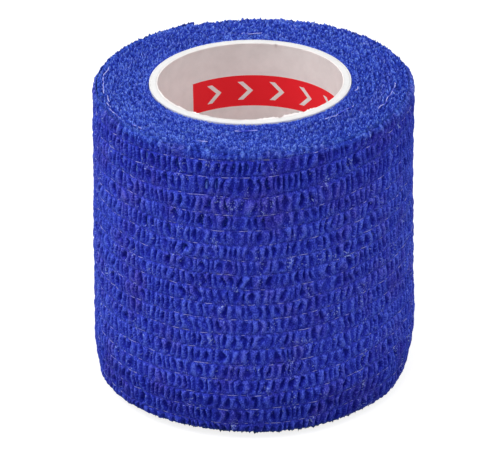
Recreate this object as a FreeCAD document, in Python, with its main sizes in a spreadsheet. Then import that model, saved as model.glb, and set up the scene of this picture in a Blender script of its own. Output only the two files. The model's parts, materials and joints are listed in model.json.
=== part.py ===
"""Roll of self-adherent elastic hand wrap on a paper core.

The wrap is one long crepe strip, wound clockwise seen from above on a tube of three paper
plies. A short tape holds the strip's inner end to the tube. The wound part is one laminate.
The tail, which peels off the roll by its free end, shows how the strip is made: a nonwoven
web on each side, and a row of elastic yarns in the bond between them. Its cloth bends along
its length, so it is a chain of short segments, each hinged to the one before it on a line
along the outer face of the strip.

Frame: millimetres, +Z up along the core's axis, origin at the centre of the core's lower end.

The strip's faces are half circles about two centres, a quarter of the winding pitch to either
side of the axis, on the line towards the free end. Each half circle ends where the next one
starts and in the same direction, and the faces come in by one pitch in every turn. Angles in
the sketches are counted from the free end, against the winding.
"""

import FreeCAD, Part
import math
import os

import Sketcher

HALF_TURNS = 23
TAIL_SEGMENTS = 5
YARNS = 19

# Driving dimensions, in millimetres and degrees: name, value, what it is
SIZES = [
    ("bore_radius", 14.7, "inside of the core"),
    ("core_length", 51.0, "the core, which stands a little proud of the cloth"),
    ("liner_ply", 0.15, "printed paper inside the core"),
    ("board_ply", 0.96, "pressed board that stiffens the core"),
    ("cover_ply", 0.15, "paper outside the core"),
    ("glue_line", 0.02, "between pieces that are glued together"),
    ("tape_thickness", 0.08, "double-sided tape under the strip's inner end"),
    ("tape_span", 20.0, "the tape round the core, in degrees"),
    ("strip_width", 50.0, "the wrap, from edge to edge"),
    ("web_thickness", 0.26, "each of the strip's two nonwoven webs, with its crepe"),
    ("yarn_size", 0.1, "an elastic yarn, through the strip and along its width"),
    ("bond_line", 0.05, "cohesive bond between a yarn and each web"),
    ("turn_gap", 0.07, "air between one turn and the next"),
    ("end_direction", 112.0, "where the free end lies, from +X towards +Y, in degrees"),
    ("segment_span", 14.0, "one tail segment round the roll, in degrees"),
    ("hinge_gap", 0.1, "between neighbouring tail segments"),
]

# Sizes that follow from the driving ones
BOARD_INSIDE = "(sizes.bore_radius + sizes.liner_ply + sizes.glue_line)"
COVER_INSIDE = f"({BOARD_INSIDE} + sizes.board_ply + sizes.glue_line)"
TAPE_INSIDE = f"({COVER_INSIDE} + sizes.cover_ply + sizes.glue_line)"
STRIP_START = f"({TAPE_INSIDE} + sizes.tape_thickness + sizes.glue_line)"
YARN_LAYER = "(sizes.yarn_size + 2 * sizes.bond_line)"
STRIP = f"(2 * sizes.web_thickness + {YARN_LAYER})"
PITCH = f"({STRIP} + sizes.turn_gap)"
CENTRE_SHIFT = f"({PITCH} / 4)"
# the strip's outer face about its centre, beside the free end
OUTER_FACE = f"({STRIP_START} + {STRIP} + {HALF_TURNS} * {PITCH} / 2 - {CENTRE_SHIFT})"
CLOTH_FOOT = "((sizes.core_length - sizes.strip_width) / 2)"
YARN_PITCH = f"(sizes.strip_width / {YARNS})"
HALF_GAP = f"(sizes.hinge_gap / 2 / {OUTER_FACE} * 180 / pi)"

# How Sketcher numbers the points of a line or an arc, and the sketch's own origin and X axis
START, END, CENTRE = 1, 2, 3
ORIGIN, X_AXIS = (-1, 1), -1

doc = FreeCAD.newDocument("hand_wrap")
sheet = doc.addObject("Spreadsheet::Sheet", "sizes")
for row, (name, value, meaning) in enumerate(SIZES, start=1):
    sheet.set(f"A{row}", name)
    sheet.set(f"B{row}", str(value))
    sheet.set(f"C{row}", meaning)
    sheet.setAlias(f"B{row}", name)
doc.recompute()


def now(expression):
    """What an expression in the sheet's names comes to, to draw a sketch near its solution."""
    return float(sheet.evalExpression(str(expression)))


def polar(centre_x, radius, degrees):
    angle = math.radians(degrees)
    return FreeCAD.Vector(centre_x + radius * math.cos(angle), radius * math.sin(angle), 0)


class Outline:
    """A sketch on the XY plane of a new body, at a height, turned to face the free end."""

    def __init__(self, label, height):
        self.body = doc.addObject("PartDesign::Body", label)
        self.body.Label = label
        self.body.AllowCompound = True
        planes = self.body.Origin.OriginFeatures
        floor = next(plane for plane in planes if plane.Role == "XY_Plane")
        self.sketch = self.body.newObject("Sketcher::SketchObject", f"{label}_outline")
        self.sketch.AttachmentSupport = [(floor, "")]
        self.sketch.MapMode = "FlatFace"
        self.sketch.setExpression("AttachmentOffset.Base.z", height)
        self.sketch.setExpression("AttachmentOffset.Rotation.Angle", "sizes.end_direction")

    def rule(self, *parts):
        self.sketch.addConstraint(Sketcher.Constraint(*parts))

    def measure(self, kind, *parts, is_now):
        """A dimension that follows an expression."""
        if kind == "Angle":
            drawn = math.radians(now(is_now))
        else:
            drawn = now(is_now)
        index = self.sketch.addConstraint(Sketcher.Constraint(kind, *parts, drawn))
        self.sketch.setExpression(f"Constraints[{index}]", str(is_now))

    def centre(self, side):
        """One of the spiral's two centres: side 1 towards the free end, or -1."""
        spot = FreeCAD.Vector(side * now(CENTRE_SHIFT), 0, 0)
        point = self.sketch.addGeometry(Part.Point(spot), True)
        self.rule("PointOnObject", point, START, X_AXIS)
        from_left = [ORIGIN, (point, START)]
        if side < 0:
            from_left.reverse()
        (left, left_end), (right, right_end) = from_left
        self.measure("DistanceX", left, left_end, right, right_end, is_now=CENTRE_SHIFT)
        return point

    def arc(self, centre, radius, first, last):
        """An arc about a centre point, drawn but free in its radius and its ends."""
        middle = self.sketch.getPoint(*centre)
        circle = Part.Circle(middle, FreeCAD.Vector(0, 0, 1), radius)
        curve = Part.ArcOfCircle(circle, math.radians(first), math.radians(last))
        index = self.sketch.addGeometry(curve)
        self.rule("Coincident", index, CENTRE, *centre)
        return index

    def line(self, start, end, construction=False):
        """A line between two points of what is drawn already."""
        ends = [self.sketch.getPoint(*start), self.sketch.getPoint(*end)]
        index = self.sketch.addGeometry(Part.LineSegment(*ends), construction)
        self.rule("Coincident", index, START, *start)
        self.rule("Coincident", index, END, *end)
        return index

    def aim(self, line, centre, direction):
        """Turns a line so that it points away from a centre in a direction."""
        self.rule("PointOnObject", *centre, line)
        self.measure("Angle", line, is_now=direction)

    def spoke(self, centre, circles, direction, construction):
        """A line across the strip, from one circle about a centre to another."""
        middle = self.sketch.getPoint(*centre).x
        ends = [
            polar(middle, self.sketch.Geometry[circle].Radius, now(direction))
            for circle in circles
        ]
        index = self.sketch.addGeometry(Part.LineSegment(*ends), construction)
        self.rule("PointOnObject", index, START, circles[0])
        self.rule("PointOnObject", index, END, circles[1])
        self.aim(index, centre, direction)
        return index

    def circle(self, centre, radius, construction=False):
        middle = self.sketch.getPoint(*centre)
        shape = Part.Circle(middle, FreeCAD.Vector(0, 0, 1), now(radius))
        index = self.sketch.addGeometry(shape, construction)
        self.rule("Coincident", index, CENTRE, *centre)
        self.measure("Radius", index, is_now=radius)
        return index

    def sector(self, centre, inside, outside, first, last):
        """A piece of a ring: two arcs about a centre and the lines between their ends."""
        span = now(first), now(last)
        inner, outer = [self.arc(centre, now(radius), *span) for radius in (inside, outside)]
        self.measure("Radius", inner, is_now=inside)
        self.measure("Radius", outer, is_now=outside)
        self.aim(self.line((inner, START), (outer, START)), centre, first)
        self.aim(self.line((inner, END), (outer, END)), centre, last)

    def straight_runs(self, centre, inside, outside, first, last, runs):
        """A piece of a ring drawn with straight runs, whose corners lie on two circles."""
        circles = [self.circle(centre, radius, True) for radius in (inside, outside)]
        spokes = []
        for corner in range(runs + 1):
            direction = f"({first}) + (({last}) - ({first})) * {corner} / {runs}"
            between = 0 < corner < runs
            spokes.append(self.spoke(centre, circles, direction, between))
        for spoke, following in zip(spokes, spokes[1:]):
            self.line((spoke, START), (following, START))
            self.line((spoke, END), (following, END))

    def pad(self, height):
        pad = self.body.newObject("PartDesign::Pad", f"{self.body.Name}_pad")
        pad.Profile = self.sketch
        pad.setExpression("Length", height)
        pad.Refine = False
        self.sketch.Visibility = False
        return pad


def core_ply(label, inside, thickness):
    """One paper tube of the core."""
    outline = Outline(label, "0")
    outline.circle(ORIGIN, inside)
    outline.circle(ORIGIN, f"{inside} + {thickness}")
    outline.pad("sizes.core_length")


def start_tape():
    """The tape that holds the strip's inner end, under the first stretch of the strip."""
    outline = Outline("start_tape", CLOTH_FOOT)
    outside = f"{TAPE_INSIDE} + sizes.tape_thickness"
    inner_end = f"{180 * HALF_TURNS % 360}"
    outline.sector(ORIGIN, TAPE_INSIDE, outside, f"{inner_end} - sizes.tape_span", inner_end)
    outline.pad("sizes.strip_width")


def wound_strip():
    """The strip from the line where the tail peels off to its inner end on the core."""
    outline = Outline("wound_strip", CLOTH_FOOT)
    centres = [(outline.centre(side), START) for side in (1, -1)]
    peel_line = f"{TAIL_SEGMENTS} * sizes.segment_span + {HALF_GAP}"
    inner = wound_face(outline, centres, now(peel_line), f"{OUTER_FACE} - {STRIP}")
    outer = wound_face(outline, centres, now(peel_line), OUTER_FACE)
    cut = outline.line((inner[0], START), (outer[0], START))
    outline.aim(cut, centres[0], peel_line)
    outline.line((inner[-1], END), (outer[-1], END))
    outline.pad("sizes.strip_width")


def wound_face(outline, centres, peel_angle, radius):
    """One face of the strip: half circles about the two centres in turn, going inwards."""
    arcs = []
    for half in range(HALF_TURNS):
        begin = peel_angle if half == 0 else 180 * half
        drawn = now(f"{radius} - {half} * {PITCH} / 2")
        arc = outline.arc(centres[half % 2], drawn, begin, 180 * (half + 1))
        outline.rule("PointOnObject", arc, END, X_AXIS)
        if arcs:
            outline.rule("Coincident", arc, START, arcs[-1], END)
        arcs.append(arc)
    outline.measure("Radius", arcs[0], is_now=radius)
    return arcs


def segment_ends(segment):
    """Where a tail segment begins and ends. Segment 1 hangs on the wound strip, and the
    last one ends in the free end."""
    from_end = TAIL_SEGMENTS - segment
    first = f"{from_end} * sizes.segment_span"
    if from_end:
        first = f"{first} + {HALF_GAP}"
    return first, f"{from_end + 1} * sizes.segment_span - {HALF_GAP}"


def tail_web(label, segment, depth):
    """A tail segment's web, whose outer face lies at a depth under the strip's own."""
    outside = f"{OUTER_FACE} - {depth}"
    outline = Outline(label, CLOTH_FOOT)
    centre = (outline.centre(1), START)
    inside = f"{outside} - sizes.web_thickness"
    outline.sector(centre, inside, outside, *segment_ends(segment))
    outline.pad("sizes.strip_width")


def tail_yarns(label, segment):
    """A tail segment's elastic yarns, evenly spaced across the strip.

    A yarn is taut, so it lies in straight runs, each too short to leave the bond."""
    outline = Outline(label, f"{CLOTH_FOOT} + ({YARN_PITCH} - sizes.yarn_size) / 2")
    centre = (outline.centre(1), START)
    outside = f"{OUTER_FACE} - sizes.web_thickness - sizes.bond_line / 2"
    longest_run = 2 * math.degrees(math.acos(1 - now("sizes.bond_line") / now(outside)))
    runs = math.ceil(now("sizes.segment_span") / longest_run)
    inside = f"{outside} - sizes.yarn_size"
    outline.straight_runs(centre, inside, outside, *segment_ends(segment), runs)
    yarn = outline.pad("sizes.yarn_size")
    rows = outline.body.newObject("PartDesign::LinearPattern", f"{label}_rows")
    rows.Originals = [yarn]
    rows.Direction = (outline.sketch, ["N_Axis"])
    rows.Occurrences = YARNS
    rows.setExpression("Length", f"{YARNS - 1} * {YARN_PITCH}")
    rows.Refine = False
    outline.body.Tip = rows


def print_hinge(segment):
    """Says where a tail segment's hinge is: a line along +Z on the strip's outer face."""
    turned = math.radians(now("sizes.end_direction"))
    along = (TAIL_SEGMENTS - segment + 1) * now("sizes.segment_span")
    spot = polar(now(CENTRE_SHIFT), now(OUTER_FACE), along)
    across = spot.x * math.cos(turned) - spot.y * math.sin(turned)
    back = spot.x * math.sin(turned) + spot.y * math.cos(turned)
    print(f"tail_{segment} hinge at x {across:.4f}, y {back:.4f}")


core_ply("core_liner", "sizes.bore_radius", "sizes.liner_ply")
core_ply("core_board", BOARD_INSIDE, "sizes.board_ply")
core_ply("core_cover", COVER_INSIDE, "sizes.cover_ply")
start_tape()
wound_strip()
for segment in range(1, TAIL_SEGMENTS + 1):
    tail_web(f"tail_{segment}_outer_web", segment, "0")
    tail_yarns(f"tail_{segment}_yarns", segment)
    tail_web(f"tail_{segment}_inner_web", segment, f"(sizes.web_thickness + {YARN_LAYER})")
    print_hinge(segment)
doc.recompute()

for item in doc.Objects:
    if "Invalid" in item.State or "Error" in item.State:
        raise RuntimeError(f"{item.Label} failed: {item.State}")

os.makedirs("parts", exist_ok=True)
for body in doc.findObjects("PartDesign::Body"):
    if body.Shape.isNull() or not body.Shape.isValid():
        raise RuntimeError(f"{body.Label} has no valid shape")
    body.Shape.exportStep(f"parts/{body.Label}.step")
    solids = len(body.Shape.Solids)
    print(f"{body.Label}: {solids} solid(s), {body.Shape.Volume:.2f} mm3")
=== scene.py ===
import json
import math

import bmesh
import bpy
import numpy as np
from mathutils import Matrix, Vector


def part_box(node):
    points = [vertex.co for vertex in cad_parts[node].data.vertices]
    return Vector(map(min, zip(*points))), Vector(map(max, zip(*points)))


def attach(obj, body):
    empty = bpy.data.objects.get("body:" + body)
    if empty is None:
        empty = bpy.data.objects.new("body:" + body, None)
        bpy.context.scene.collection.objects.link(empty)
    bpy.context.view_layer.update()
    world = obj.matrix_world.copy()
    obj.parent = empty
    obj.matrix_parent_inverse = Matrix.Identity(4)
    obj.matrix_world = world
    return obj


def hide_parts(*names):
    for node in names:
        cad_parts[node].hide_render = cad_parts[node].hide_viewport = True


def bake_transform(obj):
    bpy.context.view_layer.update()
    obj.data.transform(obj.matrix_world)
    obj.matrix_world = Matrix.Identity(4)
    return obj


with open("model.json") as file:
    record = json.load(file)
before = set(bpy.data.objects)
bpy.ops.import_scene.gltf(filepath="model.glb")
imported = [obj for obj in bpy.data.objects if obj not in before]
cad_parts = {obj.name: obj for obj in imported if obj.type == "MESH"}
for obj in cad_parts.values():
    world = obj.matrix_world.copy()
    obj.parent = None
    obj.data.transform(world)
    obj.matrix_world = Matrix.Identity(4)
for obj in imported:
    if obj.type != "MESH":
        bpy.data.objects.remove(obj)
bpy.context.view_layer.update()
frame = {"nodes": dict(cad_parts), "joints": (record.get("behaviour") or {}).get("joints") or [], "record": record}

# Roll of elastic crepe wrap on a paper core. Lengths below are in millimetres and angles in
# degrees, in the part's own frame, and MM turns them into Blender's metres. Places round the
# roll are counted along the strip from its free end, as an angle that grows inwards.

MM = 0.001

# The winding, as the solids have it
FREE_END = 112.0
HALF_TURNS = 23
STRIP = 0.72
TURN_GAP = 0.07
PITCH = STRIP + TURN_GAP
SHIFT = PITCH / 4
SEGMENT = 14.0
SEGMENTS = 5
PEEL = SEGMENT * SEGMENTS
UNDER_TAIL = PEEL + 10.0  # how much of the turn under the tail has a face of its own
ROOT_OVERLAP = 6.0  # how far the tail's first cloth reaches past the peel line

BORE = frame["record"]["mounts"][0]["dims"]["r_mm"]
CORE_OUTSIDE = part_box("core_cover")[1].x / MM
CORE_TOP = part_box("core_cover")[1].z / MM
BOARD_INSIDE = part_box("core_liner")[1].x / MM
BOARD_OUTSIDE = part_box("core_board")[1].x / MM
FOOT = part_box("wound_strip")[0].z / MM
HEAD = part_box("wound_strip")[1].z / MM
WIDTH = HEAD - FOOT
TOWARDS_END = np.array([math.cos(math.radians(FREE_END)), math.sin(math.radians(FREE_END))])
PEEL_HINGE = np.array(frame["joints"][0]["pos_m"][:2]) / MM
OUTER_FACE = float(np.linalg.norm(PEEL_HINGE - SHIFT * TOWARDS_END))

# How the real cloth departs from the plain winding, the more the further out it lies. Lean
# and bulge are given at four heights. Headings run anticlockwise from the right.
HEIGHTS = (0.0, 7.0, 24.5, 50.0)
LEAN_RIGHT = (-0.1, 0.35, 0.32, 0.62)
LEAN_BACK = (-0.25, -0.1, 0.27, 0.8)
BULGE = (-0.65, 0.38, 0.08, -0.13)
FURTHEST_OUT = 1.1  # the last turn's outer face is at 1
CURL_RADIUS = 1.5  # the lower lip is drawn in along an arc
CURL_TURN = math.radians(65)
CURL_WIDTH = CURL_RADIUS * CURL_TURN
CURL_ALL_ROUND = 0.8
CURL_IN_FRONT = 0.25
FRONT_DROP = 0.54  # the turns have slipped down in front
FRONT_LIFT = 0.87  # but are pushed up again there at the foot
LIP_SAG = 0.38  # except for the lower lip, just right of the front
LIP_SAG_HEIGHT = 5
LIP_SAG_HEADING = math.radians(-74)
BACK_RISE = 0.12  # towards the top
SWELL = 0.48  # the upper turns bulge at the back on the right
SWELL_HEADING = math.radians(48)
FREE_LIFT = 0.36  # how far the free end stands off the roll
FREE_LIFT_ANGLES = (6.5, 3.5)

# The crepe
YARN_ROWS = 19
ROW = WIDTH / YARN_ROWS
ROW_HEIGHTS = (0.0, 12.0, 27.0, 32.0, 40.0)
ROW_OFFSETS = (-0.18, -0.05, -0.02, -0.12, -0.12)  # the yarns aren't quite evenly spaced
ROW_CLIMB = 0.65  # in rows, as the wander and the spreads are
CLIMB_SPAN = (66, 100)  # where along the strip the rows climb
FALL_SPAN = (110, 150)
ROW_WANDER = 0.05
TOP_SPREAD = 0.15
RIGHT_SPREAD = 0.4
TOP_HEIGHTS = (40, 46)  # where the uppermost rows start to spread
RIGHT_SPAN = (44, 68)
GATHERING = 0.4  # how near to a yarn, in rows, the cloth is gathered
MEETING = 0.16  # and the ridges of two rows meet
RIDGE = 1.2
RIDGE_COUNT = 170
RIDGE_JITTER = 0.32  # in ridges, as the next four are
LEAST_RIDGE = 0.5
RIDGE_BOW = 0.28
RIDGE_SLANT = 0.9
RIDGE_TREMBLE = 0.14
VALLEY_POWER = 0.8
CELL_LONG = 0.14  # one face of the mesh
CELL_HIGH = 0.24

# Its pits. Each starts in from its valley's sides by its own inset and has its own openness.
PIT_INSET = 0.22
PIT_INSET_VARIES = 0.24
PIT_INSET_AT_YARN = 0.7
PIT_SLOPE = 0.5
PIT_OPEN = 0.4
PIT_OPEN_VARIES = 0.8
PIT_MOST_OPEN = 1.2
TIGHT_MIDDLE = 0.85  # the pits are more open near the strip's lips, within these heights
LOOSE_LIPS = 0.25
UPPER_LIP_HEIGHTS = (36, 46)
LOWER_LIP_HEIGHTS = (13, 4)
LOOSE_SIDE = 0.14  # and on the roll's left, about this angle
LOOSE_SIDE_ANGLE = 60
RIM = 1.7  # the strip's uppermost stretch, where they get shallow
RIM_FADE = 0.7
RIM_CLOSED = 0.75

# The depths of the crepe's forms
PIT_DEPTH = 0.58
VALLEY_DEPTH = 0.14
GROOVE_DEPTH = 0.12
GROOVE_WIDTH = 0.2
CREST_HEIGHT = 0.18
LUMP_DEPTH = 0.06
FIBRE_DEPTH = 0.03
SLOW_DEPTH = 0.1
DEEPEST = 0.62  # no pit goes through the strip
PINCH = 0.16  # how far the yarns draw the cloth in
PINCH_LEVEL = 0.4  # the share of it that is level with the plain strip

# The plain cloth's tone, from 0 to 1, and the painted shade that the forms take off it or, for a crest, the
# painted highlight they add
PLAIN_TONE = 0.86
PIT_SHADE = 0.56
VALLEY_SHADE = 0.22
GROOVE_SHADE = 0.12
CREST_HIGHLIGHT = 0.42
LIP_SHADE = 0.11
LUMP_SHADE = 0.16
RIM_LUMP_SHADE = 0.2
FIBRE_SHADE = 0.14

NOISE_CELLS = 256


def eased(share):
    """A smooth step from 0 to 1."""
    share = np.clip(share, 0, 1)
    return share * share * (3 - 2 * share)


def ramp(value, start, end):
    """A smooth step from 0 at the start to 1 at the end."""
    return eased((value - start) / (end - start))


def smooth_noise(u, v, seed):
    """Smooth random heights from -1 to 1, with one lump in each unit square, so that
    along / 1.4 makes lumps 1.4 mm long."""
    table = np.random.default_rng(seed).uniform(-1, 1, (NOISE_CELLS, NOISE_CELLS))
    u, v = np.broadcast_arrays(np.asarray(u, float), np.asarray(v, float))
    i, j = np.floor(u).astype(int), np.floor(v).astype(int)
    fu, fv = eased(u - i), eased(v - j)
    i, j = i % NOISE_CELLS, j % NOISE_CELLS
    next_i, next_j = (i + 1) % NOISE_CELLS, (j + 1) % NOISE_CELLS
    near = table[i, j] * (1 - fu) + table[next_i, j] * fu
    far = table[i, next_j] * (1 - fu) + table[next_i, next_j] * fu
    return near * (1 - fv) + far * fv


def cell_noise(i, j, seed):
    """One random number from 0 to 1 for each cell of a grid."""
    table = np.random.default_rng(seed).uniform(0, 1, (NOISE_CELLS, NOISE_CELLS))
    return table[i.astype(int) % NOISE_CELLS, j.astype(int) % NOISE_CELLS]


# ---------------------------------------------------------------- where the cloth lies


def winding(angle, depth):
    """Where a place along the strip lies in plan, at a depth under the strip's outer face."""
    half = np.clip(np.floor(angle / 180), 0, HALF_TURNS - 1)
    side = np.where(half % 2 == 0, SHIFT, -SHIFT)
    radius = OUTER_FACE - half * PITCH / 2 - depth
    heading = np.radians(FREE_END + angle)
    x = side * TOWARDS_END[0] + radius * np.cos(heading)
    y = side * TOWARDS_END[1] + radius * np.sin(heading)
    return x, y


def settle(x, y, height, sag=0.0):
    """Where a point of the plain winding comes to lie. Height runs up the strip's width from
    its lower edge, and sag is how far the face has sunk into the cloth there."""
    radius = np.hypot(x, y)
    heading = np.arctan2(y, x)
    front, back = np.clip(-np.sin(heading), 0, 1), np.clip(np.sin(heading), 0, 1)
    out = np.clip((radius - CORE_OUTSIDE) / (OUTER_FACE - CORE_OUTSIDE), 0, FURTHEST_OUT)
    up = height / WIDTH
    curl = out**3 * (CURL_ALL_ROUND + CURL_IN_FRONT * front**2)
    turn = np.clip((CURL_WIDTH - height) / CURL_RADIUS, 0, CURL_TURN)
    inward = CURL_RADIUS * (1 - np.cos(turn)) * curl
    lifted = CURL_RADIUS * (turn - np.sin(turn)) * curl
    swell = SWELL * np.clip(np.cos(heading - SWELL_HEADING), 0, 1) ** 4 * up
    bulge = (np.interp(height, HEIGHTS, BULGE) + swell) * out
    grown = radius + bulge - inward - sag * np.cos(turn * curl)
    x = x * grown / radius + np.interp(height, HEIGHTS, LEAN_RIGHT) * out**2
    y = y * grown / radius + np.interp(height, HEIGHTS, LEAN_BACK) * out**2
    uneven = FRONT_LIFT * front**2 * (1 - up) - FRONT_DROP * front**1.5
    uneven += BACK_RISE * back**2 * up
    at_lip = np.clip(1 - height / LIP_SAG_HEIGHT, 0, 1)
    uneven -= LIP_SAG * np.clip(np.cos(heading - LIP_SAG_HEADING), 0, 1) ** 8 * at_lip
    z = FOOT + height + lifted + uneven * out + sag * np.sin(turn * curl)
    return np.stack([x, y, z], -1)


def place(angle, depth, height, sag=0.0):
    """The cloth's place in space, at a depth under the strip's outer face."""
    x, y = winding(angle, depth)
    return settle(x, y, height, sag)


def free_lift(angle):
    """How far the strip's free end stands off the roll."""
    return FREE_LIFT * ramp(angle, *FREE_LIFT_ANGLES)


def run_along(angle):
    """How far along the strip an angle from its free end is."""
    return np.radians(angle) * (OUTER_FACE - PITCH * angle / 720)


# ---------------------------------------------------------------- the crepe's relief


def row_shift(along, height):
    """How far the rows of yarn wander up the strip as they go along it, in rows. They climb
    on the right and come down behind, and the uppermost spread towards the lip."""
    climb = ROW_CLIMB * (ramp(along, *CLIMB_SPAN) - ramp(along, *FALL_SPAN))
    spread = TOP_SPREAD + RIGHT_SPREAD * ramp(along, *RIGHT_SPAN)
    spread = spread * ramp(height, *TOP_HEIGHTS)
    offset = np.interp(height, ROW_HEIGHTS, ROW_OFFSETS)
    wander = ROW_WANDER * smooth_noise(along / 5, height / 3, seed=4)
    return climb + spread + offset + wander


def yarn_height(along, row):
    """The height of a yarn on the strip."""
    return ROW * (row + row_shift(along, row * ROW))


def ridges_before(along, row):
    """How many ridges of a row lie before a place along the strip. The ridges are unevenly
    wide, and those of neighbouring rows only half follow each other."""
    spare = 2  # rows and ridges beyond the strip's, for places that have wandered off it
    number = np.arange(-spare, RIDGE_COUNT)
    table_size = (YARN_ROWS + 2 * spare, len(number))
    jitter = np.random.default_rng(11).uniform(-RIDGE_JITTER, RIDGE_JITTER, table_size)
    counted = np.zeros(np.shape(along))
    for one_row in range(-spare, YARN_ROWS + spare):
        spots = number + jitter[one_row + spare] + smooth_noise(number / 6, one_row, seed=12)
        least = LEAST_RIDGE * number
        spots = np.maximum.accumulate(spots - least) + least
        here = row == one_row
        counted[here] = np.interp(along[here], RIDGE * spots, number)
    return counted


def ridge_phase(along, height, row, up):
    """How many ridges lie before a place that is a share of a row up it. The ridges bow,
    slant and tremble, and close to a yarn they move over to meet those of the next row."""
    from_yarn = 0.5 - np.abs(up - 0.5)
    between = np.sin(np.pi * up)
    over = 0.5 * np.clip(1 - from_yarn / MEETING, 0, 1) ** 2
    next_row = np.where(up < 0.5, row - 1, row + 1)
    phase = ridges_before(along, row) * (1 - over) + ridges_before(along, next_row) * over
    phase += RIDGE_BOW * between**2 * smooth_noise(along / 1.4, row, seed=13)
    phase += RIDGE_SLANT * (up - 0.5) * between * smooth_noise(along / 2.2, row, seed=18)
    phase += RIDGE_TREMBLE * smooth_noise(along / 0.5, height / 0.6, seed=17)
    return phase


def slow_waves(along, height):
    """How far the cloth sinks in wide, shallow waves."""
    return SLOW_DEPTH * smooth_noise(along / 8, height / 6, seed=14)


def crepe(angle, height):
    """(sag, shaded_relief) of the crepe's face. Short ridges stand between the rows of yarn, slip past those of
    the next row and are pinched together at the yarn. Between them are pits of many depths, closed at both ends.
    The second value is a tone of painted shade and highlight: 1 on a ridge and 0 in a pit, and darker near the
    lips and where lumps and fibres sink."""
    along = run_along(angle)
    rows = height / ROW - row_shift(along, height)
    row = np.floor(rows)
    up = rows - row
    from_yarn = 0.5 - np.abs(up - 0.5)
    at_yarn = 1 - eased(from_yarn / GATHERING)
    groove = np.exp(-((from_yarn * ROW / GROOVE_WIDTH) ** 2))
    phase = ridge_phase(along, height, row, up)
    valley = (0.5 - 0.5 * np.cos(2 * np.pi * phase)) ** VALLEY_POWER
    near_lips = ramp(height, *UPPER_LIP_HEIGHTS) + ramp(height, *LOWER_LIP_HEIGHTS)
    at_rim = eased((height - WIDTH + RIM) / RIM_FADE)

    pit_number = np.floor(phase)
    inset = PIT_INSET + PIT_INSET_VARIES * cell_noise(pit_number, row, seed=23)
    inset = inset + PIT_INSET_AT_YARN * at_yarn
    openness = PIT_OPEN + PIT_OPEN_VARIES * cell_noise(pit_number, row, seed=13)
    openness = openness * (TIGHT_MIDDLE + LOOSE_LIPS * near_lips)
    openness *= 1 + LOOSE_SIDE * np.cos(np.radians(angle - LOOSE_SIDE_ANGLE))
    pit = eased((valley - inset) / PIT_SLOPE) * np.clip(openness, 0, PIT_MOST_OPEN)
    pit = pit * (1 - RIM_CLOSED * at_rim)
    ridge_number = np.floor(phase + 0.5)
    uneven = cell_noise(ridge_number, row, seed=33) - 0.5
    crest = (1 - valley) * np.sin(np.pi * up) * uneven
    lumps = smooth_noise(along / 0.38, height / 0.7, seed=15)
    fibres = smooth_noise(along / 0.22, height / 0.33, seed=19)

    sag = PIT_DEPTH * pit + VALLEY_DEPTH * valley + PINCH * (at_yarn - PINCH_LEVEL)
    sag = sag + GROOVE_DEPTH * groove + slow_waves(along, height)
    sag = sag + LUMP_DEPTH * lumps + FIBRE_DEPTH * fibres - CREST_HEIGHT * crest
    # painted shade and highlight: the tone is darker in the pits, valleys and grooves, near the lips and where
    # lumps and fibres sink, and paler on the crests
    shaded_relief = PLAIN_TONE - PIT_SHADE * pit - VALLEY_SHADE * valley - GROOVE_SHADE * groove
    shaded_relief = shaded_relief + CREST_HIGHLIGHT * crest - LIP_SHADE * near_lips
    shaded_relief = shaded_relief - (LUMP_SHADE + RIM_LUMP_SHADE * at_rim) * lumps - FIBRE_SHADE * fibres
    return np.minimum(sag, DEEPEST), np.clip(shaded_relief, 0, 1)


# The strip's cut edges, seen on the roll's ends
EDGE_WAVE = 0.75  # how far a web waves, in webs
EDGE_LINE = 0.14  # half the width of a web's line of fibre, in turns
EDGE_RISE = 0.65
EDGE_LEVEL = 0.45  # the rise that is level with the cut edge
EDGE_FUZZ = 0.25
EDGE_BOLD = 0.7  # how high a web's line of fibre stands
EDGE_BOLD_VARIES = 0.55
EDGE_TONE = 1.1
RIGHT_PAINTED_SHADE = 0.07  # painted shade: the cut edges are a little darker about this heading
RIGHT_HEADING = 25
UPPER_EDGE_SEED = 31
LOWER_EDGE_SEED = 41
PACKING = 0.6  # how much straighter and lower the webs lie where they are packed


def cut_edge(angle, depth, seed, packed=0.0):
    """(rise, shaded_relief) of the strip's cut edge on the roll's ends: in each turn two crinkled webs stand up as
    broken, wavy lines of fibre with gaps between them, and the tone gives the lines a painted highlight and the
    gaps painted shade. Where the turns are packed tight the webs lie straighter."""
    turn_depth = depth / PITCH
    rise = np.full(np.shape(turn_depth), -1.0)
    for line in range(-1, 3):
        number = np.floor(turn_depth * 2) + line
        run = run_along(angle + 360 * np.floor(number / 2))
        web = np.mod(number, 2)
        wave = smooth_noise(run / 0.28, web, seed) + 0.6 * smooth_noise(run / 0.7, web, seed + 1)
        middle = (number + 0.5 + EDGE_WAVE * wave * (1 - PACKING * packed)) / 2
        bold = EDGE_BOLD + EDGE_BOLD_VARIES * smooth_noise(run / 0.26, web, seed + 2)
        near = bold * np.exp(-(((turn_depth - middle) / EDGE_LINE) ** 2))
        rise = np.maximum(rise, near)
    run = run_along(angle)
    rise += EDGE_FUZZ * smooth_noise(run / 0.26, depth / 0.25, seed + 3)
    # painted shade on the cut edges, darker about the right heading
    to_right = np.clip(np.cos(np.radians(FREE_END + angle - RIGHT_HEADING)), 0, 1)
    # painted shade in the gaps between the webs and painted highlight on their raised lines
    shaded_relief = np.clip(EDGE_TONE * rise - RIGHT_PAINTED_SHADE * to_right, 0, 1)
    return EDGE_RISE * (rise - EDGE_LEVEL), shaded_relief


# ---------------------------------------------------------------- meshes


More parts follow.
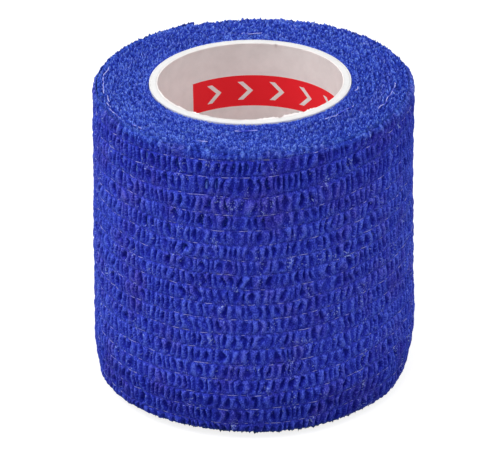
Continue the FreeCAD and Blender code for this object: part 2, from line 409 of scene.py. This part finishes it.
def grid_mesh(columns, rows):
    """A bmesh grid as a mesh, with each vertex's column and row."""
    bm = bmesh.new()
    bmesh.ops.create_grid(bm, x_segments=columns, y_segments=rows, size=0.5)
    mesh = bpy.data.meshes.new("grid")
    bm.to_mesh(mesh)
    bm.free()
    spots = np.empty(len(mesh.vertices) * 3)
    mesh.vertices.foreach_get("co", spots)
    spots = spots.reshape(-1, 3)
    column = np.rint((spots[:, 0] + 0.5) * columns).astype(int)
    row = np.rint((spots[:, 1] + 0.5) * rows).astype(int)
    return mesh, column, row


WELD = 0.002


def finish_mesh(name, mesh, places, shaded_relief=None, cut=None, on_cloth=None):
    """Sets the vertices, in millimetres, welds what meets, closes open ends and makes the piece. A cloth piece's
    tone of painted shade and highlight, how far it is cut edge, and its places on the cloth, in millimetres, go
    with its vertices for the materials."""
    mesh.vertices.foreach_set("co", (places * MM).astype(np.float32).ravel())
    if shaded_relief is not None:
        spots = mesh.attributes.new("on_cloth", "FLOAT_VECTOR", "POINT")
        spots.data.foreach_set("vector", np.stack(on_cloth, -1).astype(np.float32).ravel())
        for title, values in (("shaded_relief", shaded_relief), ("cut", cut)):
            attribute = mesh.attributes.new(title, "FLOAT", "POINT")
            attribute.data.foreach_set("value", values.astype(np.float32))
    bm = bmesh.new()
    bm.from_mesh(mesh)
    bmesh.ops.remove_doubles(bm, verts=bm.verts, dist=WELD * MM)
    loose_edges = [edge for edge in bm.edges if edge.is_boundary]
    if loose_edges:
        bmesh.ops.holes_fill(bm, edges=loose_edges, sides=0)
        for edge in loose_edges:
            edge.smooth = False
    bmesh.ops.recalc_face_normals(bm, faces=bm.faces)
    bm.to_mesh(mesh)
    bm.free()
    mesh.name = name
    mesh.polygons.foreach_set("use_smooth", np.ones(len(mesh.polygons), bool))
    piece = bpy.data.objects.new(name, mesh)
    bpy.context.scene.collection.objects.link(piece)
    return piece


LIP_ROWS = 5
UPPER_ROUND = 0.5
LOWER_ROUND = 0.25
LIP_HIGH = 1.3
FACE_ROWS = round(WIDTH / CELL_HIGH)
INNER_RELIEF = 0.3
# painted shade on the inner face, darker where it is hollow behind a ridge
INNER_TONE = 0.95
INNER_SHADE_CONTRAST = 0.8
LIP_CALM = 0.3  # how much shallower the crepe is on a rounded lip
LIP_DROP = 0.5  # how far a lip's rounding lowers it, as a share of the rounding
ROW_CROWDING = 0.55
TORN_SPAN = 1.5  # how far from the free end its torn edge moves the cloth, in degrees
TUFT_HEIGHTS = (0.6, 0.3)  # at the upper and the lower lip
CUT_TINT = 0.65  # how much the uppermost stretch of the face looks like the cut edge
CUT_TINT_HIGH = 1.5


def cloth_band(name, first, last, torn=0.0, inner_rows=1, upper_round=UPPER_ROUND):
    """A stretch of the strip as a closed solid: a crinkled outer face, cut edges at the top
    and bottom, and an inner face. An inner face with rows of its own is hollow behind the
    ridges. The rows of vertices crowd towards the yarns."""
    columns = max(4, round(run_along(last - first) / CELL_LONG))
    section_rows = FACE_ROWS + 2 * LIP_ROWS + inner_rows
    mesh, column, row = grid_mesh(columns, section_rows)
    row = row % section_rows  # the last row closes the section
    angle = first + (last - first) * column / columns
    low_lip = np.clip(1 - row / LIP_ROWS, 0, 1)
    high_lip = np.clip((row - LIP_ROWS - FACE_ROWS) / LIP_ROWS, 0, 1)
    into = np.maximum(low_lip, high_lip)
    down = np.clip((row - FACE_ROWS - 2 * LIP_ROWS) / inner_rows, 0, 1)
    on_inner = down > 0
    height = WIDTH * np.where(on_inner, 1 - down, np.clip((row - LIP_ROWS) / FACE_ROWS, 0, 1))
    on_edge = (height == 0) | (height == WIDTH)
    if torn:
        near_end = np.clip(1 - (angle - first) / TORN_SPAN, 0, 1)
        angle = angle + near_end * torn * smooth_noise(height / 0.8, 0, seed=21)
    along = run_along(angle)
    yarns_here = height / ROW - row_shift(along, height)
    crowd = np.clip(np.minimum(height, WIDTH - height), 0, 1)
    height = height - ROW_CROWDING * ROW * crowd * np.sin(2 * np.pi * yarns_here) / (2 * np.pi)
    side = np.where(height > WIDTH / 2, 1, -1)
    from_lip = np.minimum(height, WIDTH - height)
    at_lip = np.clip(1 - from_lip / LIP_HIGH, 0, 1)
    corner = np.where(on_inner, 0, np.where(on_edge, 1 - into, at_lip))
    lip_round = np.where(side > 0, upper_round, LOWER_ROUND)
    rounded = lip_round * corner**2
    sag, shaded_relief = crepe(angle, height)
    tufts = np.where(side > 0, *TUFT_HEIGHTS) * (shaded_relief - 0.5) * corner
    rise, edge_relief = cut_edge(angle, into * STRIP, UPPER_EDGE_SEED)
    depth = np.where(on_edge, lip_round + (STRIP - lip_round) * into, STRIP * on_inner)
    hollow = -INNER_RELIEF * shaded_relief * (1 - at_lip)
    outer_sag = np.where(on_edge, 0, sag * (1 - LIP_CALM * corner) + rounded)
    sag = np.where(on_inner, hollow, outer_sag) - free_lift(angle)
    places = place(angle, depth, height, sag)
    raised = np.where(on_inner, at_lip, into * on_edge)
    places[:, 2] += side * (rise * raised + tufts - LIP_DROP * rounded)
    shaded_relief = np.where(on_edge, edge_relief * into + shaded_relief * (1 - into), shaded_relief)
    # painted shade on the inner face, darker where it is hollow behind a ridge
    shaded_relief = np.where(on_inner, INNER_TONE - INNER_SHADE_CONTRAST * shaded_relief, shaded_relief)
    near_cut = eased((height - WIDTH + CUT_TINT_HIGH) / RIM_FADE)
    cut = np.where(on_edge, 1, CUT_TINT * near_cut)
    return finish_mesh(name, mesh, places, shaded_relief, cut, (along, height, into))


CORE_GAP = 0.12  # between the core and the innermost turn
TURN_LAP = 0.1  # how far the turns below reach in under the last one
PACKED_WIDTH = 1.6  # the turns by the core are packed tight
PACKED_LEVEL = 0.3
PACKED_CONTRAST = 0.35
PACKED_TONE = 0.27
TURN_SKIP = 7.3  # moves the pattern of the fibres on from turn to turn


def wound_half(name, upper, columns, rows):
    """Half of the turns under the last one, as a closed ring: its end shows the cut edges of
    every turn, and its walls are plain."""
    loop = rows + 4
    mesh, column, row = grid_mesh(columns, loop)
    row = row % loop
    column = column % columns
    angle = 360.0 * column / columns
    aside = SHIFT * np.cos(np.radians(angle))
    first_half = OUTER_FACE + aside - CORE_OUTSIDE - CORE_GAP
    second_half = OUTER_FACE - PITCH / 2 - aside - CORE_OUTSIDE - CORE_GAP
    innermost = np.where(angle < 180, first_half, second_half)
    outermost = np.where(angle < UNDER_TAIL, 2 * PITCH, PITCH) - TURN_LAP
    across = np.clip((row - 2) / rows, 0, 1)
    depth = innermost + (outermost - innermost) * across
    end_height = WIDTH if upper else 0.0
    height = np.where((row == 0) | (row > rows + 2), WIDTH / 2, end_height)
    places = place(angle, depth, height)
    packed = np.clip((depth - innermost + PACKED_WIDTH) / PACKED_WIDTH, 0, 1)
    seed = UPPER_EDGE_SEED if upper else LOWER_EDGE_SEED
    rise, shaded_relief = cut_edge(angle, depth, seed, packed)
    rise = rise * (1 - PACKING * packed) + PACKED_LEVEL * packed
    # where the turns are packed, the painted shade between the webs is weaker and drawn towards one tone
    shaded_relief = shaded_relief * (1 - PACKED_CONTRAST * packed) + PACKED_TONE * packed
    side = 1 if upper else -1
    places[:, 2] += np.where(height == end_height, side * rise, 0)
    turn_run = run_along(angle) + TURN_SKIP * np.floor(depth / PITCH)
    cut = np.ones(len(places))
    return finish_mesh(name, mesh, places, shaded_relief, cut, (turn_run, depth, height))


def tube_path(name, paths, radius, sides=4):
    """Thin threads along paths, each a closed tube, in one piece."""
    joined = bmesh.new()
    for path in paths:
        steps = len(path) - 1
        mesh, column, row = grid_mesh(steps, sides)
        row = row % sides
        along = np.gradient(path, axis=0)
        along /= np.linalg.norm(along, axis=1)[:, None]
        up = np.array([0.0, 0.0, 1.0]) + 1e-3  # so that it is never in line with a thread
        across = np.cross(along, up)
        across /= np.linalg.norm(across, axis=1)[:, None]
        over = np.cross(across, along)
        turn = 2 * np.pi * (row + 0.5) / sides
        offset = np.cos(turn)[:, None] * across[column] + np.sin(turn)[:, None] * over[column]
        spots = path[column] + radius * offset
        mesh.vertices.foreach_set("co", (spots * MM).astype(np.float32).ravel())
        joined.from_mesh(mesh)
        bpy.data.meshes.remove(mesh)
    bmesh.ops.remove_doubles(joined, verts=joined.verts, dist=radius * MM / 50)
    ends = [edge for edge in joined.edges if edge.is_boundary]
    bmesh.ops.holes_fill(joined, edges=ends, sides=0)
    bmesh.ops.recalc_face_normals(joined, faces=joined.faces)
    mesh = bpy.data.meshes.new(name)
    joined.to_mesh(mesh)
    joined.free()
    mesh.polygons.foreach_set("use_smooth", np.ones(len(mesh.polygons), bool))
    piece = bpy.data.objects.new(name, mesh)
    bpy.context.scene.collection.objects.link(piece)
    return piece


YARN_RADIUS = 0.04
YARN_DEPTH = 0.24
YARN_DEPTH_VARIES = 0.15
YARN_STEP = 0.8  # in degrees
YARN_WANDER = 0.07
YARN_FOOT = 0.4  # yarns above the foot and below the head of the strip only
YARN_HEAD = WIDTH - 0.6
SHORTEST_YARN = 4  # in points


def yarns(name, first, last):
    """The elastic yarns over a stretch of the strip. They lie under the ridges and show
    where they cross a pit."""
    steps = max(3, round((last - first) / YARN_STEP))
    angle = np.linspace(first, last, steps + 1)
    along = run_along(angle)
    paths = []
    for row in range(YARN_ROWS + 2):
        height = yarn_height(along, row) + YARN_WANDER * smooth_noise(along / 2, row, seed=51)
        depth = YARN_DEPTH + YARN_DEPTH_VARIES * smooth_noise(along, row, seed=52)
        path = place(angle, 0.0, height, depth + slow_waves(along, height) - free_lift(angle))
        on_strip = (height > YARN_FOOT) & (height < YARN_HEAD)
        changes = np.flatnonzero(np.diff(on_strip)) + 1  # a yarn can leave the strip and return
        for run in np.split(np.arange(steps + 1), changes):
            if on_strip[run[0]] and len(run) >= SHORTEST_YARN:
                paths.append(path[run])
    return tube_path(name, paths, YARN_RADIUS)


# ---------------------------------------------------------------- materials


def new_material(name):
    """A material with its nodes and links."""
    material = bpy.data.materials.new(name)
    material.use_nodes = True
    return material, material.node_tree.nodes, material.node_tree.links


def node(nodes, kind, **settings):
    """A new node, with its sockets and properties set by name."""
    made = nodes.new(kind)
    for key, value in settings.items():
        if key in made.inputs:
            made.inputs[key].default_value = value
        else:
            setattr(made, key, value)
    return made


def srgb(red, green, blue):
    """A colour written as a screen's 0 to 255 values, as the linear values Blender takes."""
    parts = [c / 255 for c in (red, green, blue)]
    return [c / 12.92 if c <= 0.04045 else ((c + 0.055) / 1.055) ** 2.4 for c in parts] + [1.0]


FIBRE_CONTRAST = 2.2
FLECK_FADE = 0.12
CLUSTERING = 0.8

# Tones from the painted shade at the bottom of a pit to the painted highlight on top of a ridge, and where they
# lie between the two
FACE_SHADED_TONES = [srgb(17, 23, 158), srgb(47, 54, 197), srgb(76, 89, 228), srgb(110, 124, 250)]
EDGE_SHADED_TONES = [srgb(0, 19, 130), srgb(42, 67, 184), srgb(79, 106, 217), srgb(120, 148, 235)]
TONE_PLACES = [0.0, 0.5, 0.82, 1.0]


def tone_ramp(nodes, stops):
    """A colour ramp through (position, colour) stops, given in order."""
    made = nodes.new("ShaderNodeValToRGB")
    elements = made.color_ramp.elements
    for element, stop in ((elements[0], stops[0]), (elements[1], stops[-1])):
        element.position, element.color = stop
    for position, colour in stops[1:-1]:
        elements.new(position).color = colour
    return made


def crepe_material(name, patchy, flecks_from, sheen):
    """Nonwoven crepe: dark with painted shade in the pits, paler with a painted highlight and fibrous on the
    ridges, with patches of a redder and a greener blue and with pale flecks in clusters. Its cut edges are greener
    and paler than its face."""
    material, nodes, links = new_material(name)
    shader = nodes["Principled BSDF"]
    shader.inputs["Roughness"].default_value = 0.85
    shader.inputs["Specular IOR Level"].default_value = 0.2
    shader.inputs["Sheen Weight"].default_value = sheen
    shader.inputs["Sheen Roughness"].default_value = 0.45
    shader.inputs["Sheen Tint"].default_value = srgb(80, 150, 255)
    on_cloth = node(nodes, "ShaderNodeAttribute", attribute_name="on_cloth")
    # the cloth's tone of painted shade and highlight
    shaded_relief = node(nodes, "ShaderNodeAttribute", attribute_name="shaded_relief")
    stretch = node(nodes, "ShaderNodeMapping", Scale=(1.0, 0.7, 1.0))  # fibres run up the ridges
    links.new(on_cloth.outputs["Vector"], stretch.inputs["Vector"])
    fibres = node(nodes, "ShaderNodeTexNoise", Scale=4.8, Detail=2.5, Roughness=0.6)
    blotches = node(nodes, "ShaderNodeTexNoise", Scale=0.16, Detail=3.0, Roughness=0.6)
    loose = node(nodes, "ShaderNodeTexNoise", Scale=4.2, Detail=1.0, Roughness=0.5)
    clusters = node(nodes, "ShaderNodeTexNoise", Scale=0.4, Detail=1.0, Roughness=0.5)
    for texture in (fibres, loose, clusters):
        links.new(stretch.outputs["Vector"], texture.inputs["Vector"])
    moved = node(nodes, "ShaderNodeMapping", Location=(5.0, 37.0, 19.0))  # violet in front
    links.new(stretch.outputs["Vector"], moved.inputs["Vector"])
    links.new(moved.outputs["Vector"], blotches.inputs["Vector"])
    lifted = node(nodes, "ShaderNodeMath", operation="MULTIPLY_ADD")
    lifted.inputs[1].default_value = FIBRE_CONTRAST
    links.new(fibres.outputs["Fac"], lifted.inputs[0])
    offset = node(nodes, "ShaderNodeMath", operation="SUBTRACT")
    offset.inputs[1].default_value = FIBRE_CONTRAST / 2
    links.new(shaded_relief.outputs["Fac"], offset.inputs[0])
    links.new(offset.outputs[0], lifted.inputs[2])
    cut = node(nodes, "ShaderNodeAttribute", attribute_name="cut")
    base = nodes.new("ShaderNodeMixRGB")
    links.new(cut.outputs["Fac"], base.inputs["Fac"])
    # the ramps paint shade in the pits and a highlight on the ridges
    for tones, socket in ((FACE_SHADED_TONES, "Color1"), (EDGE_SHADED_TONES, "Color2")):
        colour_ramp = tone_ramp(nodes, list(zip(TONE_PLACES, tones)))
        links.new(lifted.outputs[0], colour_ramp.inputs["Fac"])
        links.new(colour_ramp.outputs["Color"], base.inputs[socket])
    tint = node(nodes, "ShaderNodeMixRGB", blend_type="MULTIPLY", Fac=patchy)
    patches = tone_ramp(nodes, [(0.33, srgb(255, 206, 228)), (0.53, srgb(214, 240, 255))])
    links.new(blotches.outputs["Fac"], patches.inputs["Fac"])
    links.new(base.outputs["Color"], tint.inputs["Color1"])
    links.new(patches.outputs["Color"], tint.inputs["Color2"])
    # pale flecks where the clustered noise is high
    flecks = nodes.new("ShaderNodeMapRange")
    flecks.inputs["From Min"].default_value = flecks_from
    flecks.inputs["From Max"].default_value = flecks_from + FLECK_FADE
    gathered = node(nodes, "ShaderNodeMath", operation="MULTIPLY_ADD")
    gathered.inputs[1].default_value = CLUSTERING
    links.new(clusters.outputs["Fac"], gathered.inputs[0])
    links.new(loose.outputs["Fac"], gathered.inputs[2])
    links.new(gathered.outputs[0], flecks.inputs["Value"])
    fleck_colour = node(nodes, "ShaderNodeMixRGB", Color2=srgb(165, 185, 255))
    links.new(flecks.outputs["Result"], fleck_colour.inputs["Fac"])
    links.new(tint.outputs["Color"], fleck_colour.inputs["Color1"])
    links.new(fleck_colour.outputs["Color"], shader.inputs["Base Color"])
    bump = node(nodes, "ShaderNodeBump", Strength=0.9, Distance=0.00016)
    links.new(fibres.outputs["Fac"], bump.inputs["Height"])
    links.new(bump.outputs["Normal"], shader.inputs["Normal"])
    return material


def yarn_material(name, dull_to, pale_from):
    """Elastic yarn, blue like the cloth in places and pale in others."""
    material, nodes, links = new_material(name)
    shader = nodes["Principled BSDF"]
    shader.inputs["Roughness"].default_value = 0.6
    spot = node(nodes, "ShaderNodeTexCoord")
    flecks = node(nodes, "ShaderNodeTexNoise", Scale=800.0, Detail=2.0)
    links.new(spot.outputs["Object"], flecks.inputs["Vector"])
    colour_ramp = tone_ramp(nodes, [(dull_to, srgb(54, 64, 214)), (pale_from, srgb(186, 190, 255))])
    links.new(flecks.outputs["Fac"], colour_ramp.inputs["Fac"])
    links.new(colour_ramp.outputs["Color"], shader.inputs["Base Color"])
    return material


def paper_material(name, colour, shade):
    """Matt paper with faint fibres and mottling, and its shader and colour nodes."""
    material, nodes, links = new_material(name)
    shader = nodes["Principled BSDF"]
    shader.inputs["Roughness"].default_value = 0.75
    spot = node(nodes, "ShaderNodeTexCoord")
    mottle = node(nodes, "ShaderNodeTexNoise", Scale=450.0, Detail=5.0, Roughness=0.6)
    links.new(spot.outputs["Object"], mottle.inputs["Vector"])
    tones = tone_ramp(nodes, [(0.3, shade), (0.7, colour)])
    links.new(mottle.outputs["Fac"], tones.inputs["Fac"])
    links.new(tones.outputs["Color"], shader.inputs["Base Color"])
    bump = node(nodes, "ShaderNodeBump", Strength=0.5, Distance=0.00003)
    links.new(mottle.outputs["Fac"], bump.inputs["Height"])
    links.new(bump.outputs["Normal"], shader.inputs["Normal"])
    return material, nodes, links, tones


PRINT_TOP = CORE_TOP - 5.7
PRINT_BOTTOM = CORE_TOP - 11.1
PRINT_MIDDLE_AT = math.radians(16)  # from the back, clockwise seen from above
PRINT_HALF_LENGTH = math.radians(55)
PRINT_MARGIN = 1.1
CHEVRON_PITCH = 5.2
CHEVRON_STROKE = 0.9


def liner_material():
    """White paper with a red band printed round it in two lengths, crossed by plain chevrons
    in the paper's white."""
    material, nodes, links, paper = paper_material(
        "printed_liner", srgb(249, 243, 242), srgb(239, 233, 232)
    )
    shader = nodes["Principled BSDF"]

    def sums(operation, *values):
        """The result of a Math node on numbers and other nodes' results."""
        made = node(nodes, "ShaderNodeMath", operation=operation)
        for socket, value in zip(made.inputs, values):
            if isinstance(value, (int, float)):
                socket.default_value = value
            else:
                links.new(value, socket)
        return made.outputs[0]

    spot = nodes.new("ShaderNodeTexCoord")
    split = nodes.new("ShaderNodeSeparateXYZ")
    links.new(spot.outputs["Object"], split.inputs[0])
    x, y, z = split.outputs
    middle = (PRINT_TOP + PRINT_BOTTOM) / 2 * MM
    half = (PRINT_TOP - PRINT_BOTTOM) / 2 * MM
    height = sums("ABSOLUTE", sums("SUBTRACT", z, middle))
    bearing = sums("ARCTAN2", x, y)
    # the print comes twice round the core: fold the bearing into half a turn
    folded = sums("PINGPONG", sums("SUBTRACT", bearing, PRINT_MIDDLE_AT), math.radians(90))
    in_height = sums("LESS_THAN", height, half)
    in_length = sums("LESS_THAN", folded, PRINT_HALF_LENGTH)
    band = sums("MULTIPLY", in_height, in_length)
    run = sums("ADD", sums("MULTIPLY", bearing, BORE * MM), height)
    step = sums("PINGPONG", run, CHEVRON_PITCH / 2 * MM)
    stroke = sums("LESS_THAN", step, CHEVRON_STROKE / 2 * MM)
    inside = sums("LESS_THAN", height, half - PRINT_MARGIN * MM)
    mark = sums("MULTIPLY", stroke, inside)
    red = sums("MULTIPLY", band, sums("SUBTRACT", 1.0, mark))
    mix = node(nodes, "ShaderNodeMixRGB")
    mix.inputs["Color2"].default_value = srgb(250, 20, 38)
    links.new(red, mix.inputs["Fac"])
    links.new(paper.outputs["Color"], mix.inputs["Color1"])
    links.new(mix.outputs["Color"], shader.inputs["Base Color"])
    return material


# ---------------------------------------------------------------- the core


WORN_HIGH = 0.3  # how far along the wall from its ends the wear reaches
UNEVEN_ENDS = 0.25
BURR_RISE = 0.6


def paper_ring(name, inside, outside, columns, wear, burr, seed):
    """One ply of the core. Its cut ends are worn unevenly, and some stretches of its inner
    edge, given as (heading, spread, size), have a torn burr."""
    wall_rows = 26
    end_rows = 4
    loop = 2 * wall_rows + 2 * end_rows
    mesh, column, row = grid_mesh(columns, loop)
    column, row = column % columns, row % loop
    up = np.clip(row / wall_rows, 0, 1)
    across = np.clip((row - wall_rows) / end_rows, 0, 1)
    down = np.clip((row - wall_rows - end_rows) / wall_rows, 0, 1)
    back = np.clip((row - 2 * wall_rows - end_rows) / end_rows, 0, 1)
    inner = 1 - (across - back)
    radius = inside + (outside - inside) * (1 - inner)
    height = CORE_TOP * (0.5 - 0.5 * np.cos(np.pi * (up - down)))  # closer rows near the ends
    heading = 2 * np.pi * column / columns
    around = heading * inside
    near_end = np.clip(1 - np.minimum(height, CORE_TOP - height) / WORN_HIGH, 0, 1)
    torn = np.zeros(len(heading))
    for towards, spread, size in burr:
        off = (np.degrees(heading) - towards + 180) % 360 - 180
        torn += size * np.exp(-((off / spread) ** 2))
    lumps = smooth_noise(around / 0.9, 0, seed) + 0.6 * smooth_noise(around / 0.3, 3, seed)
    fine = smooth_noise(around / 0.16, 5, seed)
    ragged = wear * np.abs(lumps + 0.5 * fine) + torn * (0.5 + 0.7 * lumps)
    side = np.where(height > CORE_TOP / 2, 1, -1)
    burrs = BURR_RISE * torn * (0.6 + 0.6 * lumps) * inner
    height = height + near_end * side * (UNEVEN_ENDS * wear * lumps + burrs)
    radius = radius - near_end * np.clip(ragged, 0, None) * inner
    places = np.stack([radius * np.cos(heading), radius * np.sin(heading), height], -1)
    return finish_mesh(name, mesh, places)


# ---------------------------------------------------------------- build

TURN_PARTS = [(PEEL + ROOT_OVERLAP, 170.0), (170.0, 265.0), (265.0, 360.0)]

wrap_blue = crepe_material("crepe", patchy=0.75, flecks_from=1.12, sheen=0.3)
edge_blue = crepe_material("crepe_edge", patchy=0.4, flecks_from=1.15, sheen=0.1)
yarn_pale = yarn_material("elastic_yarn", dull_to=0.51, pale_from=0.6)
yarn_loose = yarn_material("loose_yarn", dull_to=0.38, pale_from=0.56)

turn_sheets = [
    cloth_band(f"last_turn_{part}", first, last)
    for part, (first, last) in zip(("left", "front", "right"), TURN_PARTS)
]
UNDER_ROUND = 0.1  # the upper lip of the turn under the tail, which the tail keeps flat
under_tail = cloth_band("turn_under_tail", 360.0, 360.0 + UNDER_TAIL, upper_round=UNDER_ROUND)
upper = wound_half("wound_turns_upper", upper=True, columns=1300, rows=66)
lower = wound_half("wound_turns_lower", upper=False, columns=1000, rows=60)
last_yarns = yarns("last_turn_yarns", PEEL + ROOT_OVERLAP, 360.0)
under_yarns = yarns("under_tail_yarns", 360.0, 360.0 + UNDER_TAIL)
for pieces, finish in (
    (turn_sheets + [under_tail], wrap_blue),
    ((upper, lower), edge_blue),
    ((last_yarns, under_yarns), yarn_pale),
):
    for piece in pieces:
        piece.data.materials.append(finish)
        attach(piece, "roll")
        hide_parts("wound_strip")


TORN_END = 0.4  # how far the free end's edge wanders, in degrees


def tail():
    """The peeling tail: each piece of cloth reaches from the middle of one rigid segment to the middle of the
    next, over the hinge between them. Only the piece at the free end goes with its segment; the others are fixed
    in place."""
    bodies = ["roll"] + [f"tail_{segment}" for segment in range(1, SEGMENTS + 1)]
    made = []
    for number, body in enumerate(bodies):
        last = PEEL + ROOT_OVERLAP if number == 0 else PEEL - (number - 0.5) * SEGMENT
        first = max(0.0, PEEL - (number + 0.5) * SEGMENT)
        torn = TORN_END if number == SEGMENTS else 0.0
        cloth = cloth_band(f"tail_cloth_{number}", first, last, torn, FACE_ROWS)
        threads = yarns(f"tail_yarns_{number}", first, last)
        cloth.data.materials.append(wrap_blue)
        threads.data.materials.append(yarn_pale)
        for piece, slot in ((cloth, "crepe_web"), (threads, "elastic_yarn")):
            if number == SEGMENTS:
                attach(piece, body)
            else:
                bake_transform(piece)
            made.append(piece)
        if number:
            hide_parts(f"tail_{number}_outer_web", f"tail_{number}_inner_web")
            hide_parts(f"tail_{number}_yarns")
    return made


# Cut yarns that lie on the roll's upper end: (radius, first and last heading)
FRAYED = [
    (23.85, 166, 190),
    (23.6, 192, 197),
    (24.1, 198, 202),
    (24.5, 203, 212),
    (24.25, 219, 221),
    (24.2, 222, 224),
    (22.7, 331, 350),
    (22.65, 352, 356),
    (17.1, 346, 353),
    (18.5, 309, 329),
    (18.1, 262, 273),
    (19.0, 84, 94),
    (23.0, 248, 252),
]
FRAYED_RADIUS = 0.07
FRAYED_LIFT = 0.28
FRAYED_POINTS = 1.2  # in each degree
FRAYED_WANDER = 0.25
FRAYED_KINK = 0.1
FRAYED_WAVE = 0.12


def frayed_yarns():
    """Ends of the elastic yarns, pulled out of the cut edge and lying on it."""
    paths = []
    for number, (radius, first, last) in enumerate(FRAYED):
        steps = max(4, round((last - first) * FRAYED_POINTS))
        heading = np.radians(np.linspace(first, last, steps + 1))
        run = heading * radius
        out = radius + FRAYED_WANDER * smooth_noise(run / 1.8, number, seed=71)
        out += FRAYED_KINK * smooth_noise(run / 0.6, number, seed=72)
        lift = WIDTH + FRAYED_LIFT + FRAYED_WAVE * smooth_noise(run / 1.2, number, seed=73)
        paths.append(settle(out * np.cos(heading), out * np.sin(heading), lift))
    return tube_path("frayed_yarns", paths, FRAYED_RADIUS, sides=5)


frayed = frayed_yarns()
frayed.data.materials.append(yarn_loose)
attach(frayed, "roll")

tail_pieces = tail()

# The torn burrs on the liner's edge: (heading, spread, size)
INNER_BURR = [(292.0, 16.0, 0.42), (228.0, 14.0, 0.2), (205.0, 9.0, 0.15), (73.0, 1.5, 0.5)]
GLUE = 0.01
liner = paper_ring("liner_paper", BORE, BOARD_INSIDE, 1200, 0.05, INNER_BURR, seed=61)
board = paper_ring("pressed_board", BOARD_INSIDE + GLUE, BOARD_OUTSIDE, 600, 0.03, [], seed=62)
cover = paper_ring("cover_paper", BOARD_OUTSIDE + GLUE, CORE_OUTSIDE, 700, 0.04, [], seed=63)
liner.data.materials.append(liner_material())
board.data.materials.append(paper_material("board", srgb(233, 233, 233), srgb(226, 225, 225))[0])
cover.data.materials.append(paper_material("cover", srgb(235, 235, 236), srgb(227, 227, 228))[0])
for piece, slot, cad_node in (
    (liner, "liner_paper", "core_liner"),
    (board, "pressed_board", "core_board"),
    (cover, "cover_paper", "core_cover"),
):
    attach(piece, "roll")
    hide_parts(cad_node)

tape = frame["nodes"]["start_tape"]
tape.data.materials.clear()
tape.data.materials.append(paper_material("tape", srgb(236, 232, 220), srgb(222, 216, 204))[0])


# ---------------------------------------------------------------- stage, light and camera


def stage_floor():
    """A floor that takes the roll's shadow and looks white to the camera."""
    bm = bmesh.new()
    bmesh.ops.create_grid(bm, x_segments=1, y_segments=1, size=4.0)
    mesh = bpy.data.meshes.new("floor")
    bm.to_mesh(mesh)
    bm.free()
    floor = bpy.data.objects.new("floor", mesh)
    bpy.context.scene.collection.objects.link(floor)
    material, nodes, links = new_material("floor_white")
    shader = nodes["Principled BSDF"]
    shader.inputs["Base Color"].default_value = (0.35, 0.35, 0.35, 1)
    shader.inputs["Roughness"].default_value = 0.9
    shader.inputs["Specular IOR Level"].default_value = 0.0
    path = nodes.new("ShaderNodeLightPath")
    links.new(path.outputs["Is Camera Ray"], shader.inputs["Emission Strength"])
    shader.inputs["Emission Color"].default_value = (0.84, 0.84, 0.84, 1)
    mesh.materials.append(material)


def soft_light(name, azimuth, elevation, distance, size, watts):
    """A square softbox that faces the roll. Azimuth 0 is in front and 90 to the right."""
    lamp = bpy.data.lights.new(name, "AREA")
    lamp.shape = "SQUARE"
    lamp.size = size
    lamp.energy = watts
    light = bpy.data.objects.new(name, lamp)
    turn, rise = math.radians(azimuth), math.radians(elevation)
    target = Vector((0, 0, CORE_TOP / 2 * MM))
    level = math.cos(rise)
    away = Vector((math.sin(turn) * level, -math.cos(turn) * level, math.sin(rise)))
    light.location = target + away * distance
    light.rotation_mode = "QUATERNION"
    light.rotation_quaternion = away.to_track_quat("Z", "Y")
    bpy.context.scene.collection.objects.link(light)


AMBIENT = 0.25


def light_world():
    """White all round, but only dim as a light on matt things."""
    world = bpy.data.worlds.new("studio")
    world.use_nodes = True
    nodes, links = world.node_tree.nodes, world.node_tree.links
    background = nodes["Background"]
    background.inputs["Color"].default_value = (1, 1, 1, 1)
    path = nodes.new("ShaderNodeLightPath")
    strength = node(nodes, "ShaderNodeMath", operation="MULTIPLY_ADD")
    strength.inputs[1].default_value = 1 - AMBIENT
    strength.inputs[2].default_value = AMBIENT
    seen = node(nodes, "ShaderNodeMath", operation="MAXIMUM")
    links.new(path.outputs["Is Camera Ray"], seen.inputs[0])
    links.new(path.outputs["Is Glossy Ray"], seen.inputs[1])
    links.new(seen.outputs[0], strength.inputs[0])
    links.new(strength.outputs[0], background.inputs["Strength"])
    bpy.context.scene.world = world


CAMERA_RISE = math.radians(26.47)
CAMERA_TILT = math.radians(-0.86)
CAMERA_AIM = -0.37  # just left of the roll's middle
CAMERA_DISTANCE = 0.65
FOCAL_LENGTH = 290.7


def camera():
    """A long lens in front of the roll, looking down on it."""
    target = Vector((CAMERA_AIM * MM, 0, CORE_TOP / 2 * MM))
    back = Vector((0, -math.cos(CAMERA_RISE), math.sin(CAMERA_RISE)))
    data = bpy.data.cameras.new("camera")
    data.lens = FOCAL_LENGTH
    data.sensor_width = 36.0
    data.clip_start = 0.05
    made = bpy.data.objects.new("camera", data)
    made.location = target + back * CAMERA_DISTANCE
    upright = back.to_track_quat("Z", "Y").to_matrix().to_4x4()
    roll = Matrix.Rotation(CAMERA_TILT, 4, "Z")
    made.matrix_world = Matrix.Translation(made.location) @ upright @ roll
    bpy.context.scene.collection.objects.link(made)
    bpy.context.scene.camera = made


stage_floor()
light_world()
soft_light("side_left", -86, 46, 0.42, 0.28, 0.72)
soft_light("side_right", 90, 40, 0.7, 0.45, 1.2)
soft_light("overhead", -14, 70, 0.7, 0.5, 2.8)
camera()
bpy.context.scene.view_settings.view_transform = "Standard"
